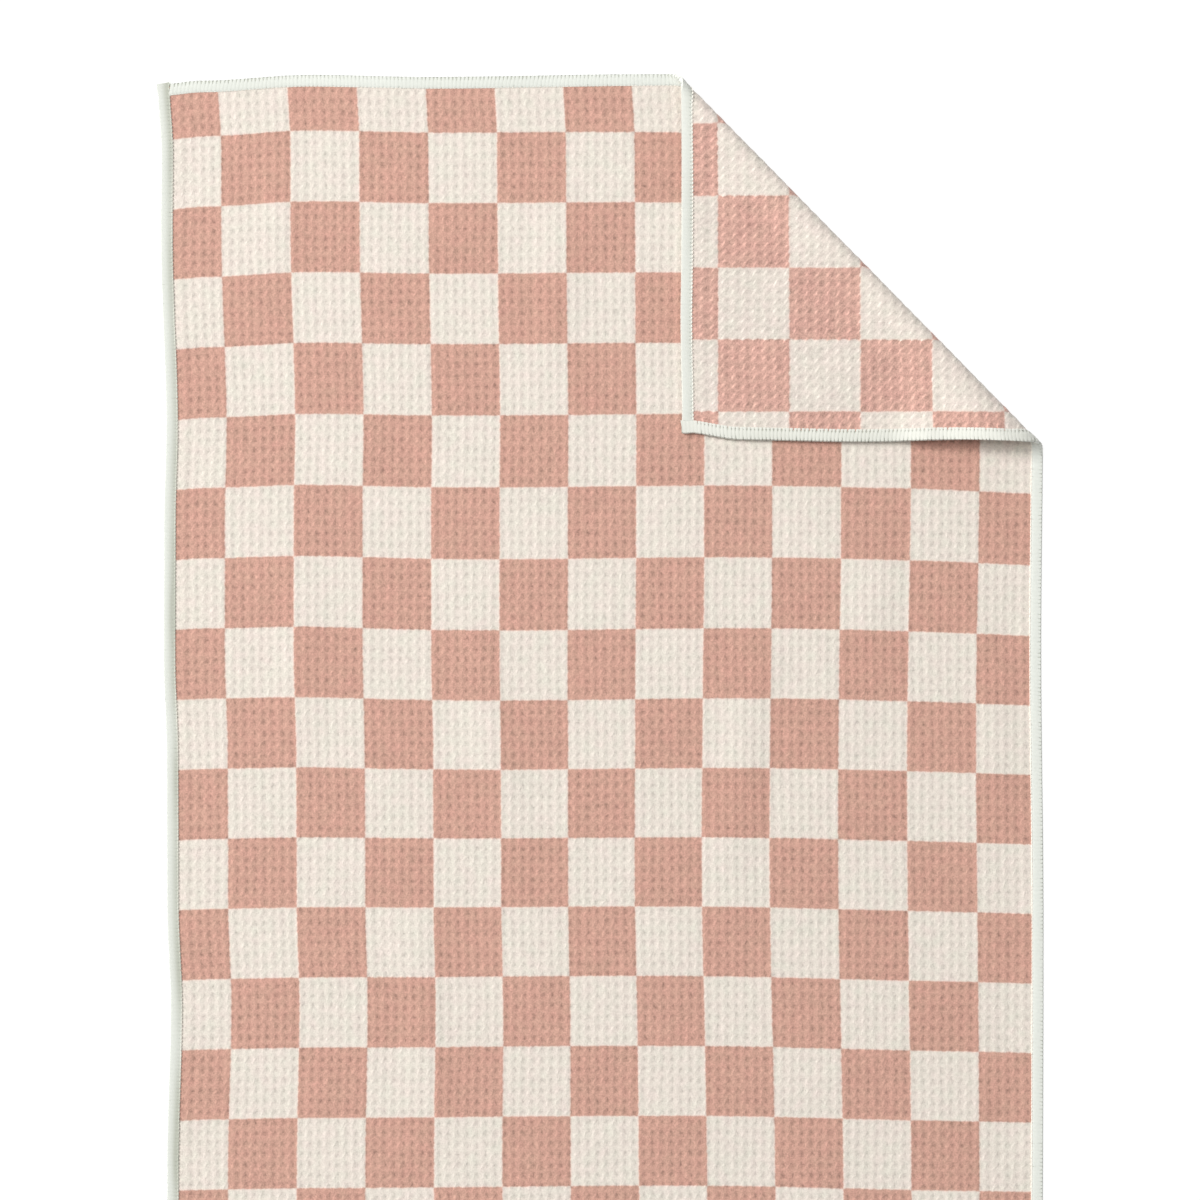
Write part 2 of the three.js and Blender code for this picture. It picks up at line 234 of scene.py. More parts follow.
def weave_height(a, b, shape):
    """Height of the waffle at cell coordinates a and b, whose whole numbers are pits: a bell shaped float
    half a cell beside each pit and a little lower, less a bell shaped pit."""
    x, y = a - np.round(a), b - np.round(b)
    pit = np.exp(-(x / shape["pit"][0]) ** 2 - (y / shape["pit"][1]) ** 2)
    x, y = a - 0.5 - np.round(a - 0.5), b + shape["drop"] - np.round(b + shape["drop"])
    raised = np.exp(-((x - shape["lean"] * y) / shape["float"][0]) ** 2 - (y / shape["float"][1]) ** 2)
    return shape["height"] * raised - shape["depth"] * pit


def by_cell(a, b):
    """A number from -1 to 1 that differs from cell to cell: a sine each way, each bent by another sine."""
    return np.sin(a * 2.3 + 3 * np.sin(b * 0.7)) * np.sin(b * 1.9 + 2 * np.sin(a * 0.6))


def wander(along, across, long, bend, wide, start):
    """How far threads wander aside: a sine along them, bent by another sine, times a sine across them."""
    return WANDER * np.sin(along / long + 2 * np.sin(across / bend)) * np.sin(across / wide + start)


def grid_lines(half, cells, pitch, steps):
    """Grid lines from one edge to the other: those beside the edge, then the steps of each cell, and those
    beside the other edge. Also the number of cells at each line."""
    counts = (np.arange(cells)[:, None] + np.array(steps)).ravel()
    beside_edge = np.array(RIM_LINES)
    first = CELLS_FROM - half
    places = np.concatenate([beside_edge - half, first + counts * pitch, [-first], half - beside_edge[::-1]])
    return places, (places - first) / pitch


# The print's checks on the front and on the back: size, and a place where four of them meet
CHECK = (35.53, 36.53)
CHECK_FROM = (-194.7, 350.0)
BACK_CHECK = (37.16, 37.45)
BACK_FROM = (61.0, 318.1)

# How far the front print is drawn out of true, to the left and up. First by p, r, p times r, p squared and
# r squared, where p is 1 at the right edge and r at the top. Then in two broad places each: middle x and y,
# half width and length, and how far
DRAWN_LEFT = (0, 1.3, 1.1, 2.0, 0.8)
DRAWN_UP = (-1.3, 0, -2.2, -2.8, 1.0)
LEFT_PLACES = [(80, -40, 180, 180, 2.7), (200, 200, 120, 200, -2.3)]
UP_PLACES = [(-40, 80, 180, 180, -2.7), (200, 240, 250, 160, 2.9)]


def drawn(u, v, by_share, places):
    """How far the print is drawn aside: a sum of products of the shares p and r, and a hump at each place."""
    p, r = u / (WIDTH / 2), v / (LENGTH / 2)
    slanted = sum(far * term for far, term in zip(by_share, (p, r, p * r, p * p, r * r)))
    return slanted + sum(far * hump(u - at, wide) * hump(v - up, long) for at, up, wide, long, far in places)


def front_print(u, v):
    """Check coordinates of the front print: plain columns and rows, drawn out of true."""
    x = u - CHECK_FROM[0] + drawn(u, v, DRAWN_LEFT, LEFT_PLACES)
    y = CHECK_FROM[1] - v + drawn(u, v, DRAWN_UP, UP_PLACES)
    return np.stack([x / CHECK[0], y / CHECK[1]], axis=-1)


def back_print(u, v):
    """Check coordinates of the back print, square to the folded corner as it lies: the cloth is turned over
    about the fold's line without the roll, so that the checks run on round it."""
    flat = uneven(u, v)
    length = flat @ TO_CORNER - FOLD_START
    out, _, _ = fold_section(np.array(FOLD_LENGTH))
    laid = flat + TO_CORNER * (out + FOLD_LENGTH - 2 * length)[..., None]
    return (laid - np.array(BACK_FROM)) / np.array(BACK_CHECK) * np.array([1, -1])


def cloth_face(columns, rows, side):
    """One face of the cloth: points, print and weave coordinates. Side is 1 for the front, and -1 for the
    back, whose cells are turned a quarter. The points are moved along to where the floats are, and the
    threads wander."""
    (us, across), (vs, along) = columns, rows
    u, v = np.meshgrid(us, vs, indexing="ij")
    ci, cj = np.meshgrid(across, along, indexing="ij")
    from_edge = inset(u, v)
    open_cloth = smooth(from_edge, SQUEEZED_TO, CELLS_FROM + 1)
    if side > 0:
        a, b, shape = ci, cj, FRONT_WEAVE
        beside = hump(a - np.round(a - 0.5) - 0.5, BESIDE_PIT)
        b = b - shape["drop"] * beside * hump(b - np.round(b), 0.5)
        moved = b - cj
    else:
        a, b, shape = -cj, -ci, BACK_WEAVE
        beside = hump(a - np.round(a - 0.5) - 0.5, BESIDE_PIT)
        a = a + shape["lean"] * (b - np.round(b) + shape["drop"]) * beside
        moved = -a - cj
    wander_u = wander(v, u, *WANDER_ACROSS)
    wander_v = wander(u, v, *WANDER_ALONG)
    u = u + wander_u * open_cloth
    v = v + (moved * PITCH[1] + wander_v) * open_cloth
    fine = open_cloth
    if side < 0:
        fine = fine * smooth(uneven(u, v) @ TO_CORNER - FOLD_START, *BACK_RISES)
    half = SQUEEZED / 2 + (THICKNESS - SQUEEZED) / 2 * smooth(from_edge, *SWELLS)
    nearest = np.argmin([LENGTH / 2 - v, WIDTH / 2 - u, v + LENGTH / 2, u + WIDTH / 2], axis=0)
    groove = np.array(GROOVE["front" if side > 0 else "back"])[nearest]
    half = half - groove * hump(from_edge - GROOVE["from_edge"], GROOVE["half_width"])
    relief = weave_height(a, b, shape) * (1 + BY_CELL * by_cell(ci, cj)) * fine
    prints = front_print(u, v) if side > 0 else back_print(u, v)
    return lie(u, v, side * (half + relief)), prints, np.stack([a, b], axis=-1)


def quads(shape, start, turned):
    """Faces of a grid of points whose numbers count from start, turned over for the far side."""
    n = np.arange(shape[0] * shape[1]).reshape(shape) + start
    corners = [n[:-1, :-1], n[1:, :-1], n[1:, 1:], n[:-1, 1:]]
    return np.stack(corners[::-1] if turned else corners, axis=-1).reshape(-1, 4)


def rim(shape):
    """Numbers of a grid's edge points, once round and turning left as seen from the front."""
    n = np.arange(shape[0] * shape[1]).reshape(shape)
    return np.concatenate([n[:-1, 0], n[-1, :-1], n[:0:-1, -1], n[0, :0:-1]])


def new_piece(name, points, faces, material, maps=None, marks=None):
    """Makes a mesh object at the origin from points in millimetres. Maps are UV coordinates and marks are
    single numbers, both given for each point."""
    mesh = bpy.data.meshes.new(name)
    mesh.from_pydata((points * 0.001).tolist(), [], [face for group in faces for face in group.tolist()])
    mesh.polygons.foreach_set("use_smooth", np.ones(len(mesh.polygons), dtype=bool))
    corners = np.empty(len(mesh.loops), dtype=np.int32)
    mesh.loops.foreach_get("vertex_index", corners)
    for key, values in (maps or {}).items():
        layer = mesh.uv_layers.new(name=key)
        layer.data.foreach_set("uv", values[corners].astype(np.float32).ravel())
    for key, values in (marks or {}).items():
        mesh.attributes.new(key, "FLOAT", "POINT").data.foreach_set("value", values.astype(np.float32))
    mesh.materials.append(material)
    made = bpy.data.objects.new(name, mesh)
    bpy.context.collection.objects.link(made)
    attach(made, "root")
    return made


def plug(tree, socket, value):
    """Links an output into a socket, or sets a plain value on it."""
    if isinstance(value, bpy.types.NodeSocket):
        tree.links.new(value, socket)
    else:
        socket.default_value = value


def maths(tree, operation, *values):
    """A Math node's result."""
    node = tree.nodes.new("ShaderNodeMath")
    node.operation = operation
    for socket, value in zip(node.inputs, values):
        plug(tree, socket, value)
    return node.outputs[0]


def mixed(tree, share, first, second, kind="MIX"):
    """A colour mix: the first at share 0, the second at share 1."""
    node = tree.nodes.new("ShaderNodeMix")
    node.data_type = "RGBA"
    node.blend_type = kind
    plug(tree, node.inputs["Factor"], share)
    plug(tree, node.inputs["A"], first)
    plug(tree, node.inputs["B"], second)
    return node.outputs["Result"]


def noise(tree, vector, scale, detail=2.0):
    """A noise texture's value on the given coordinates."""
    node = tree.nodes.new("ShaderNodeTexNoise")
    plug(tree, node.inputs["Vector"], vector)
    node.inputs["Scale"].default_value = scale
    node.inputs["Detail"].default_value = detail
    return node.outputs["Fac"]


def about_zero(tree, value):
    """A noise's value less its mean of a half."""
    return maths(tree, "SUBTRACT", value, 0.5)


def bell(tree, x, y, half_x, half_y):
    """exp(-(x / half_x)^2 - (y / half_y)^2)."""
    sides = [maths(tree, "POWER", maths(tree, "DIVIDE", value, half), 2.0)
             for value, half in ((x, half_x), (y, half_y))]
    return maths(tree, "EXPONENT", maths(tree, "MULTIPLY", maths(tree, "ADD", *sides), -1.0))


def from_nearest(tree, value):
    """Distance from the nearest whole number, with its sign."""
    return maths(tree, "SUBTRACT", value, maths(tree, "ROUND", value))


def between(tree, share, first, second):
    """A plain number that goes from the first to the second with share."""
    step = maths(tree, "MULTIPLY", share, second - first)
    return maths(tree, "ADD", step, first)


def ramp(tree, value, low, high, first, second):
    """Goes in a straight line from the first number at low to the second at high, and stays so outside."""
    node = tree.nodes.new("ShaderNodeMapRange")
    for name, number in (("From Min", low), ("From Max", high), ("To Min", first), ("To Max", second)):
        node.inputs[name].default_value = number
    plug(tree, node.inputs["Value"], value)
    return node.outputs["Result"]


PINK = (0.558, 0.322, 0.253, 1)
CREAM = (0.728, 0.663, 0.588, 1)
BACK_PINK = (0.59, 0.352, 0.289, 1)
BACK_CREAM = (0.712, 0.641, 0.57, 1)
DYED = (1.05, 0.96, 0.95, 1)        # what the dye does to the cream where it bleeds
COOLER = (0.95, 1.025, 0.99, 1)     # and how far the colour changes from place to place
WARMER = (1.05, 0.975, 1.01, 1)
PRINT_EDGE = 0.03       # softness of the print's edges, as a share of a check
BLEED = 0.09            # how far the dye tints the cream
RAGGED = 0.03           # how far the edges wander, both as shares of a check
CELL_CHANCE = (0.6, 1.3)    # how strong the faintest and the strongest pits and floats are

# How the cells are drawn on the front and on the back, mostly in cells: how far they are shaken, the pits'
# half sizes, and the lean of pits and floats, the floats' half sizes and how much lower than the pit they
# are, how many fibres there are along a cell, and how far the print's edges step aside at pits and floats
DRAWN_CELL = {
    "shaken across": (0.5, 0.3),
    "shaken along": (0.5, 0.2),
    "pit across": (0.18, 0.22),
    "pit along": (0.29, 0.28),
    "pit lean": (-0.1, 0.3),
    "float across": (0.15, 0.12),
    "float along": (0.25, 0.27),
    "float lean": (0.4, 0.5),
    "float drop": (0.14, 0.05),
    "fibres along": (3.4, 2.2),
    "print step": (0.0, 0.009),
}
BRIDGE = (0.30, 0.20)   # half sizes of the low bridge between one pit and the next
PIT_ASIDE = 0.04        # how far the pits and the bridges lie beside the cell's middle line
BRIDGE_ASIDE = 0.08
FIBRES_ACROSS = 6.0     # how many fibres there are across a cell

cloth_look = bpy.data.materials.new("printed_waffle_cloth")
cloth_look.use_nodes = True
tree = cloth_look.node_tree
shader = tree.nodes["Principled BSDF"]

weave_map = tree.nodes.new("ShaderNodeUVMap")
weave_map.uv_map = "weave"
print_map = tree.nodes.new("ShaderNodeUVMap")
print_map.uv_map = "print"
back_mark = tree.nodes.new("ShaderNodeAttribute")
back_mark.attribute_name = "back"
on_back = back_mark.outputs["Fac"]
position = tree.nodes.new("ShaderNodeTexCoord").outputs["Object"]
by_face = {name: between(tree, on_back, *values) for name, values in DRAWN_CELL.items()}

# Cell coordinates, a little shaken, and from them the pits, which are narrower at their top, and the floats
cell = tree.nodes.new("ShaderNodeSeparateXYZ")
tree.links.new(weave_map.outputs["UV"], cell.inputs[0])
shake = about_zero(tree, noise(tree, weave_map.outputs["UV"], 1.3, 1.0))
shake_more = about_zero(tree, noise(tree, position, 330, 1.0))
cell_a = maths(tree, "ADD", cell.outputs[0], maths(tree, "MULTIPLY", shake, by_face["shaken across"]))
cell_b = maths(tree, "ADD", cell.outputs[1], maths(tree, "MULTIPLY", shake_more, by_face["shaken along"]))
pit_x = from_nearest(tree, cell_a)
pit_y = from_nearest(tree, cell_b)
pit_half = maths(tree, "MULTIPLY", by_face["pit across"], between(tree, pit_y, 1.0, 0.2))
pit_lean = maths(tree, "MULTIPLY", pit_y, by_face["pit lean"])
pit_at = maths(tree, "ADD", maths(tree, "SUBTRACT", pit_x, pit_lean), PIT_ASIDE)
pit = bell(tree, pit_at, pit_y, pit_half, by_face["pit along"])
bridge_y = from_nearest(tree, maths(tree, "SUBTRACT", cell_b, 0.5))
bridge = bell(tree, maths(tree, "SUBTRACT", pit_x, BRIDGE_ASIDE), bridge_y, *BRIDGE)
float_x = from_nearest(tree, maths(tree, "SUBTRACT", cell_a, 0.5))
float_y = from_nearest(tree, maths(tree, "ADD", cell_b, by_face["float drop"]))
float_at = maths(tree, "SUBTRACT", float_x, maths(tree, "MULTIPLY", float_y, by_face["float lean"]))
raised = bell(tree, float_at, float_y, by_face["float across"], by_face["float along"])
cell_chance = tree.nodes.new("ShaderNodeTexWhiteNoise")
cell_chance.noise_dimensions = "2D"
rounded = tree.nodes.new("ShaderNodeVectorMath")
rounded.operation = "FLOOR"
tree.links.new(weave_map.outputs["UV"], rounded.inputs[0])
tree.links.new(rounded.outputs[0], cell_chance.inputs["Vector"])
pit = maths(tree, "MULTIPLY", pit, between(tree, cell_chance.outputs["Value"], *CELL_CHANCE))
raised = maths(tree, "MULTIPLY", raised, between(tree, cell_chance.outputs["Value"], *CELL_CHANCE[::-1]))

# Short fibres, which on the front lean in to the top of each pit from both sides, and on the back all lean
# as the floats do
fibre_at = tree.nodes.new("ShaderNodeCombineXYZ")
beside_pit = maths(tree, "ADD", maths(tree, "ABSOLUTE", pit_x), maths(tree, "MULTIPLY", pit_y, 0.35))
leaning = maths(tree, "SUBTRACT", pit_x, maths(tree, "MULTIPLY", cell_b, 0.5))
to_back = maths(tree, "MULTIPLY", maths(tree, "SUBTRACT", leaning, beside_pit), on_back)
across_fibre = maths(tree, "MULTIPLY", maths(tree, "ADD", beside_pit, to_back), FIBRES_ACROSS)
plug(tree, fibre_at.inputs[0], across_fibre)
plug(tree, fibre_at.inputs[1], maths(tree, "MULTIPLY", cell_b, by_face["fibres along"]))
plug(tree, fibre_at.inputs[2], maths(tree, "MULTIPLY", maths(tree, "ROUND", cell_a), 7.3))
fibres = about_zero(tree, noise(tree, fibre_at.outputs[0], 1.0))
specks = about_zero(tree, noise(tree, position, 1300))

# The print: two sine waves whose signs agree in the pink checks, with edges that follow the yarns
checks = tree.nodes.new("ShaderNodeSeparateXYZ")
tree.links.new(print_map.outputs["UV"], checks.inputs[0])
ragged = maths(tree, "MULTIPLY", about_zero(tree, noise(tree, position, 420)), RAGGED)
steps = maths(tree, "MULTIPLY", maths(tree, "SUBTRACT", raised, pit), by_face["print step"])
ragged = maths(tree, "ADD", ragged, steps)
column_at = maths(tree, "ADD", checks.outputs[0], ragged)
row_at = maths(tree, "SUBTRACT", checks.outputs[1], ragged)
column, row = [maths(tree, "SINE", maths(tree, "MULTIPLY", at, math.pi)) for at in (column_at, row_at)]
column_sign, row_sign = [ramp(tree, wave, -PRINT_EDGE, PRINT_EDGE, -1, 1) for wave in (column, row)]
pink_share = between(tree, maths(tree, "MULTIPLY", column_sign, row_sign), 0.5, 1.0)
to_border = maths(tree, "MINIMUM", maths(tree, "ABSOLUTE", column), maths(tree, "ABSOLUTE", row))
tinted = mixed(tree, ramp(tree, to_border, 0, BLEED, 1, 0), (1, 1, 1, 1), DYED)
pink = mixed(tree, on_back, PINK, BACK_PINK)
cream = mixed(tree, 1.0, mixed(tree, on_back, CREAM, BACK_CREAM), tinted, "MULTIPLY")
colour = mixed(tree, pink_share, cream, pink)
colour = mixed(tree, 1.0, colour, mixed(tree, noise(tree, position, 150), COOLER, WARMER), "MULTIPLY")

# Light and dark added to the colour on the front and on the flap, more strongly in the pink: painted shade
# darkens the pits, a painted highlight lightens the floats, the low bridges are a little lighter, and
# mottle, fibres and specks are tone that differs at random
mottle = about_zero(tree, noise(tree, position, 90, 3.0))
shade = 0.0
for value, on_front, on_flap in (
    (pit, -0.14, -0.11),
    (bridge, 0.05, 0.05),
    (raised, 0.11, 0.29),
    (mottle, 0.08, 0.20),
    (fibres, 0.27, 0.40),
    (specks, 0.42, 0.48),
):
    strength = between(tree, on_back, on_front, on_flap)
    shade = maths(tree, "ADD", shade, maths(tree, "MULTIPLY", value, strength))
stronger_in_pink = between(tree, pink_share, 1.0, 1.75)
shade = maths(tree, "ADD", maths(tree, "MULTIPLY", shade, stronger_in_pink), 1.0)
grey = tree.nodes.new("ShaderNodeCombineColor")
for socket in grey.inputs:
    plug(tree, socket, shade)
colour = mixed(tree, 1.0, colour, grey.outputs[0], "MULTIPLY")
tree.links.new(colour, shader.inputs["Base Color"])

relief = maths(tree, "SUBTRACT", maths(tree, "MULTIPLY", raised, 0.5), maths(tree, "MULTIPLY", pit, 0.6))
relief = maths(tree, "ADD", relief, maths(tree, "MULTIPLY", fibres, between(tree, on_back, 0.7, 0.4)))
bump = tree.nodes.new("ShaderNodeBump")
bump.inputs["Strength"].default_value = 1.0
bump.inputs["Distance"].default_value = 0.00022
tree.links.new(relief, bump.inputs["Height"])
tree.links.new(bump.outputs[0], shader.inputs["Normal"])
shader.inputs["Roughness"].default_value = 0.9
shader.inputs["Specular IOR Level"].default_value = 0.2
shader.inputs["Sheen Weight"].default_value = 0.3
shader.inputs["Sheen Roughness"].default_value = 0.5

FLAP_FROM = (27, 178)   # the flap shows only cloth from beyond these places across and along
UNDERSIDE_CELLS = 4     # in the rest, which nobody sees, the back's mesh has a line for every fourth cell


def kept_lines(places, steps, flap_from):
    """Which of the front's grid lines the back keeps: all of them where the flap shows and beside the edges,
    and in the rest every fourth cell's."""
    number = np.arange(len(places)) - len(RIM_LINES)
    return (places > flap_from) | (number % (UNDERSIDE_CELLS * len(steps)) == 0) | (number < 0)


columns = grid_lines(WIDTH / 2, CELLS[0], PITCH[0], ACROSS_STEPS)
rows = grid_lines(LENGTH / 2, CELLS[1], PITCH[1], ALONG_STEPS)
keep_columns = kept_lines(columns[0], ACROSS_STEPS, FLAP_FROM[0])
keep_rows = kept_lines(rows[0], ALONG_STEPS, FLAP_FROM[1])
front = cloth_face(columns, rows, 1)
back = cloth_face([c[keep_columns] for c in columns], [r[keep_rows] for r in rows], -1)
front_shape = front[0].shape[:2]
back_shape = back[0].shape[:2]
front_count = front_shape[0] * front_shape[1]

# The cut edge joins the fine front to the coarser back: a fan from each back point, and a triangle between
# neighbouring back points
front_rim = rim(front_shape)
kept_rim = (keep_columns[:, None] & keep_rows[None, :]).ravel()[front_rim]
back_rim = rim(back_shape) + front_count
carrier = np.cumsum(kept_rim) - 1
fans = np.stack([front_rim, back_rim[carrier], np.roll(front_rim, -1)], axis=-1)
closers = np.stack([back_rim, np.roll(back_rim, -1), np.roll(front_rim[kept_rim], -1)], axis=-1)

cloth = new_piece(
    "towel_cloth",
    np.concatenate([face[0].reshape(-1, 3) for face in (front, back)]),
    [quads(front_shape, 0, False), quads(back_shape, front_count, True), fans, closers],
    cloth_look,
    maps={
        "print": np.concatenate([face[1].reshape(-1, 2) for face in (front, back)]),
        "weave": np.concatenate([face[2].reshape(-1, 2) for face in (front, back)]),
    },
    marks={"back": np.repeat([0.0, 1.0], [front_count, back_shape[0] * back_shape[1]])},
)
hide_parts("cloth")

# The thread edges: an overlock of pale mint white textured polyester, sewn round each cut edge. Soft looper
# threads lie side by side over a bed of thread, and a cream needle thread holds them along the inner side.
STITCH = 2.0            # from one strand to the next
STRAND = {"half_width": 1.2, "half_height": 0.24, "sides": 5}
NEEDLE = {"half_width": 0.45, "sides": 6}
BED_UNDER = 0.10        # how far the bed lies under the middle of the strands
# painted shade on the bed, which lies in shade under and between the strands
BED_PAINTED_SHADE = 0.8
THREAD_DULLER = (0.70, 0.725, 0.67, 1)
THREAD_LIGHTER = (0.81, 0.825, 0.765, 1)
NEEDLE_CREAM = (0.90, 0.86, 0.78, 1)
# the grey of the dull mark: painted shade between the strands, on the bed and towards the holes, and the
# thread's own dullness
PAINTED_SHADE_AND_DULL_GREY = (0.49, 0.505, 0.43, 1)

# Distances in from the outer edge at which a strand's path has its points, from its inner end to the nose,
# and three shapes of its rise over the cloth's middle: domed, sloping in from a high outer side, and rounded
# off towards the nose
PATH_INS = np.array([6.8, 6.2, 5.5, 4.4, 2.6, 0.65])
SHARED_TO = 4.4         # from here outwards all the paths are the same
WIDTH_INS = (0.9, 2.8, 4.7, 5.5, 6.2, 6.8)      # distances in at which a strand's width is given
NOSE_IN = 0.17
DOMED = np.array([0.62, 0.88, 0.98, 1.06, 1.10, 1.03])
SLOPED = np.array([0.62, 0.74, 0.76, 0.80, 1.08, 1.14])
ROUNDED = np.array([0.62, 0.86, 0.97, 1.07, 1.07, 0.97])

# The bed's section: distances in, from its inner side towards the nose, how far in the nose is, and the two
# points inside the cloth that close it, as the distance in and the height over the cloth's middle
BED_INS = np.array([5.6, 4.4, 2.6, 0.8])
BED_NOSE_IN = 0.32
BED_INNER = [(5.0, -0.3), (5.0, 0.3)]

# Each run's front and back: the rise, how far in the strands reach, how much they stand out and how much
# painted shade darkens their sides, the share of their width at the inner holes and at the outer edge, how
# dull the thread is all over and how much painted shade darkens it towards the holes, the share of cream in
# it, and how far in the needle thread lies, or 0 where it is sunk in, how much its middle stands over the
# strands', the half length of its stitches and how dull it is, partly as painted shade
LOOKS = (
    "rise", "reach", "out", "side_painted_shade", "inner", "outer", "dull", "painted_shade_in", "cream",
    "needle_in", "needle_over", "needle_half", "needle_dull_and_painted_shade",
)
NEAT = (DOMED, 6.4, 0.9, 0.18, 0.97, 0.45, 0.08, 0, 0, 6.1, -0.22, 1.02, 0.1)
UNDERNEATH = (DOMED, 6.7, 0.9, 0.18, 0.75, 0.80, 0, 0, 0, 0, 0, 0, 0)
RUNS = {
    "top": (NEAT, (SLOPED, 6.0, 0.4, 0.08, 0.50, 0.95, 0, 0.4, 0.1, 6.0, 0.05, 0.66, 0.1)),
    "right": (
        (ROUNDED, 6.3, 0.4, 0.08, 0.97, 0.66, 0, 0, 0, 6.0, 0, 1.0, 0),
        (DOMED - 0.06, 6.65, 1.4, 0.28, 0.52, 0.70, 0.2, 0, 0.35, 0, 0, 0, 0),
    ),
    "bottom": (NEAT, UNDERNEATH),
    "left": ((SLOPED, 6.1, 0.4, 0.08, 0.70, 0.95, 0, 1.0, 0, 6.1, -0.05, 0.98, 0.85), UNDERNEATH),
}
AT_NOSE = {"out": 0.5, "side_painted_shade": 0.05, "dull": 0, "painted_shade_in": 0, "cream": 0}
SHARE_AT_NOSE = 0.85
# painted shade that darkens the thread more and more towards the holes
PAINTED_SHADE_TOWARDS = (1.0, 5.6)   # the thread gets duller between these distances in

# How a strand lies, and how unlike each other the strands are
RUNS_ON = (-0.08, 0.30)     # from front to back a strand goes on along the edge between these, in stitches
STARTS_OFF = 0.08           # how far off its even place it may be
LEANS = 0.06                # how much it leans by chance
LEANS_IN_WAVES = 0.12       # and by a slow wave along the edge, a sine
WAVE = 26                   # length of an arc of one radian of that sine
LEANS_ABOUT = 3             # distance in of the point about which it leans
NARROWS = 0.35              # share by which its narrow places may be wider or narrower
WIDTHS = (0.93, 1.05)       # and its whole width

# The ends of the side runs, which lie over the ends of the top and bottom ones
FLARE = 0.7                 # how far out they go
FLARED = (7, 2)             # they go out between these distances from the run's end
FLARE_ENDS = (0.5, 4)       # and less and less between these distances in
SMOOTHED = (9, 5)           # their strands lie smooth and close between these distances from the end
FLATTER = 0.6               # and stand out less by this share

thread_look = bpy.data.materials.new("overlock_thread")
thread_look.use_nodes = True
tree = thread_look.node_tree
shader = tree.nodes["Principled BSDF"]
position = tree.nodes.new("ShaderNodeTexCoord").outputs["Object"]
# A mark mixes in a grey: painted shade at the strands' sides, on the bed and towards the holes, with the
# thread's own dullness
dull_and_shade_mark = tree.nodes.new("ShaderNodeAttribute")
dull_and_shade_mark.attribute_name = "dull"
needle_mark = tree.nodes.new("ShaderNodeAttribute")
needle_mark.attribute_name = "needle"
tint = mixed(tree, noise(tree, position, 700), THREAD_DULLER, THREAD_LIGHTER)
tint = mixed(tree, needle_mark.outputs["Fac"], tint, NEEDLE_CREAM)
dulling = ramp(tree, noise(tree, position, 14, 1.0), 0.3, 0.7, 0.35, 1.35)
tint = mixed(tree, maths(tree, "MULTIPLY", dull_and_shade_mark.outputs["Fac"], dulling), tint, PAINTED_SHADE_AND_DULL_GREY)
tree.links.new(tint, shader.inputs["Base Color"])
bump = tree.nodes.new("ShaderNodeBump")
bump.inputs["Strength"].default_value = 0.5
bump.inputs["Distance"].default_value = 0.0002
tree.links.new(noise(tree, position, 3200), bump.inputs["Height"])
tree.links.new(bump.outputs[0], shader.inputs["Normal"])
shader.inputs["Roughness"].default_value = 0.8
shader.inputs["Specular IOR Level"].default_value = 0.25
shader.inputs["Sheen Weight"].default_value = 0.2


def tubes(lines, width, height, flatwise, sides):
    """Closed tubes along many lines at once. Lines has a row of points for each tube, as place along the
    edge, distance in and height. Each ring of a tube is an ellipse that starts at its top, with its width
    along the edge or, for flatwise, across it, and its height square to the line. Returns points, faces, and
    how near each point is to the tube's sides."""
    ahead = np.gradient(lines, axis=1)
    wide = np.zeros_like(lines)
    wide[..., 1 if flatwise else 0] = 1
    normal = np.cross(ahead, wide)
    normal /= np.linalg.norm(normal, axis=-1, keepdims=True)
    angle = math.pi / 2 + np.arange(sides) * 2 * math.pi / sides
    rings = (lines[:, :, None] + wide[:, :, None] * (width[..., None] * np.cos(angle))[..., None]
             + normal[:, :, None] * (height[..., None] * np.sin(angle))[..., None])
    tube_count, ring_count = lines.shape[:2]
    n = np.arange(tube_count * ring_count * sides).reshape(tube_count, ring_count, sides)
    side = np.stack([n[:, :-1], np.roll(n, -1, 2)[:, :-1], np.roll(n, -1, 2)[:, 1:], n[:, 1:]], axis=-1)
    beside = np.broadcast_to(np.cos(angle) ** 2, n.shape)
    return rings.reshape(-1, 3), [side.reshape(-1, 4), n[:, 0, ::-1], n[:, -1]], beside


def both_faces(front, back, nose):
    """A row of values along a strand, from the front's inner end round the nose to the back's inner end."""
    return np.concatenate([front, [nose], back[::-1]])


def along_edge(edge, s, q):
    """Places on the plain rectangle: s is the place along an edge, growing clockwise as seen from the front,
    and q the distance in from it."""
    return {
        "top": (s, LENGTH / 2 - q),
        "right": (WIDTH / 2 - q, -s),
        "bottom": (-s, q - LENGTH / 2),
        "left": (q - WIDTH / 2, s),
    }[edge]


def strand_width(inner, outer):
    """Share of the full width at each point of a strand's path: the outer share at the edge, all of it in the
    middle, the inner share at the holes, and less where the strand goes into the cloth."""
    return np.interp(PATH_INS, WIDTH_INS, [outer, 1, 1, inner, 0.9, 0.7])


def path_ins(reach):
    """The distances in at a path's points, for a path that reaches in as far as given."""
    past = np.maximum(PATH_INS - SHARED_TO, 0)
    return PATH_INS - past + past * (reach - SHARED_TO) / (PATH_INS[0] - SHARED_TO)


def rise_at(look, distance):
    """How high a face's path lies at a distance in."""
    return np.interp(distance, path_ins(look["reach"])[::-1], look["rise"][::-1])


chance = np.random.default_rng(11)


